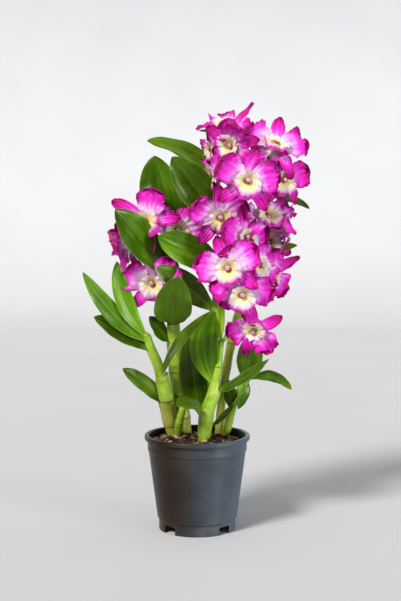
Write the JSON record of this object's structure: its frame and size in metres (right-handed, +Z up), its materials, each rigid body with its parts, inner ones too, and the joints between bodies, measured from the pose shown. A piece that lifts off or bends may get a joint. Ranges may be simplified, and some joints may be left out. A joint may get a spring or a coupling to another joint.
{
  "type": "dendrobium orchid",
  "caption": "Upright cane orchid in a round nursery pot: leafy jointed canes, glossy strap leaves and clusters of magenta blooms with cream lips.",
  "frame": {"origin": "on the surface that the pot stands on, under the pot's axis", "axes": "+Z up along the pot's axis, -Y the plant's front, +X to the right as the front faces you"},
  "size_m": [0.2559, 0.1224, 0.4827],
  "materials": {
    "pot": "satin charcoal injection-moulded plastic",
    "soil": "coarse dark bark chips",
    "foliage": "glossy green leaves and yellow-green canes with papery sheaths",
    "petal": "velvety magenta petals, white at the base, with a cream and yellow lip"
  },
  "bodies": {
    "root": {"pot": "pot", "soil": "soil", "cane_left": "foliage", "cane_short": "foliage", "cane_thick": "foliage", "cane_front": "foliage", "cane_right": "foliage", "cane_tall": "foliage", "cane_back": "foliage", "bloom_01": "petal", "bloom_02": "petal", "bloom_03": "petal", "bloom_04": "petal", "bloom_05": "petal", "bloom_06": "petal", "bloom_07": "petal", "bloom_08": "petal", "bloom_09": "petal", "bloom_10": "petal", "bloom_11": "petal", "bloom_12": "petal", "bloom_13": "petal", "bloom_14": "petal", "bloom_15": "petal", "bloom_16": "petal", "bloom_17": "petal", "bloom_18": "petal", "bloom_19": "petal", "bloom_20": "petal", "bloom_21": "petal", "bloom_22": "petal", "bloom_23": "petal"}
  },
  "joints": []
}
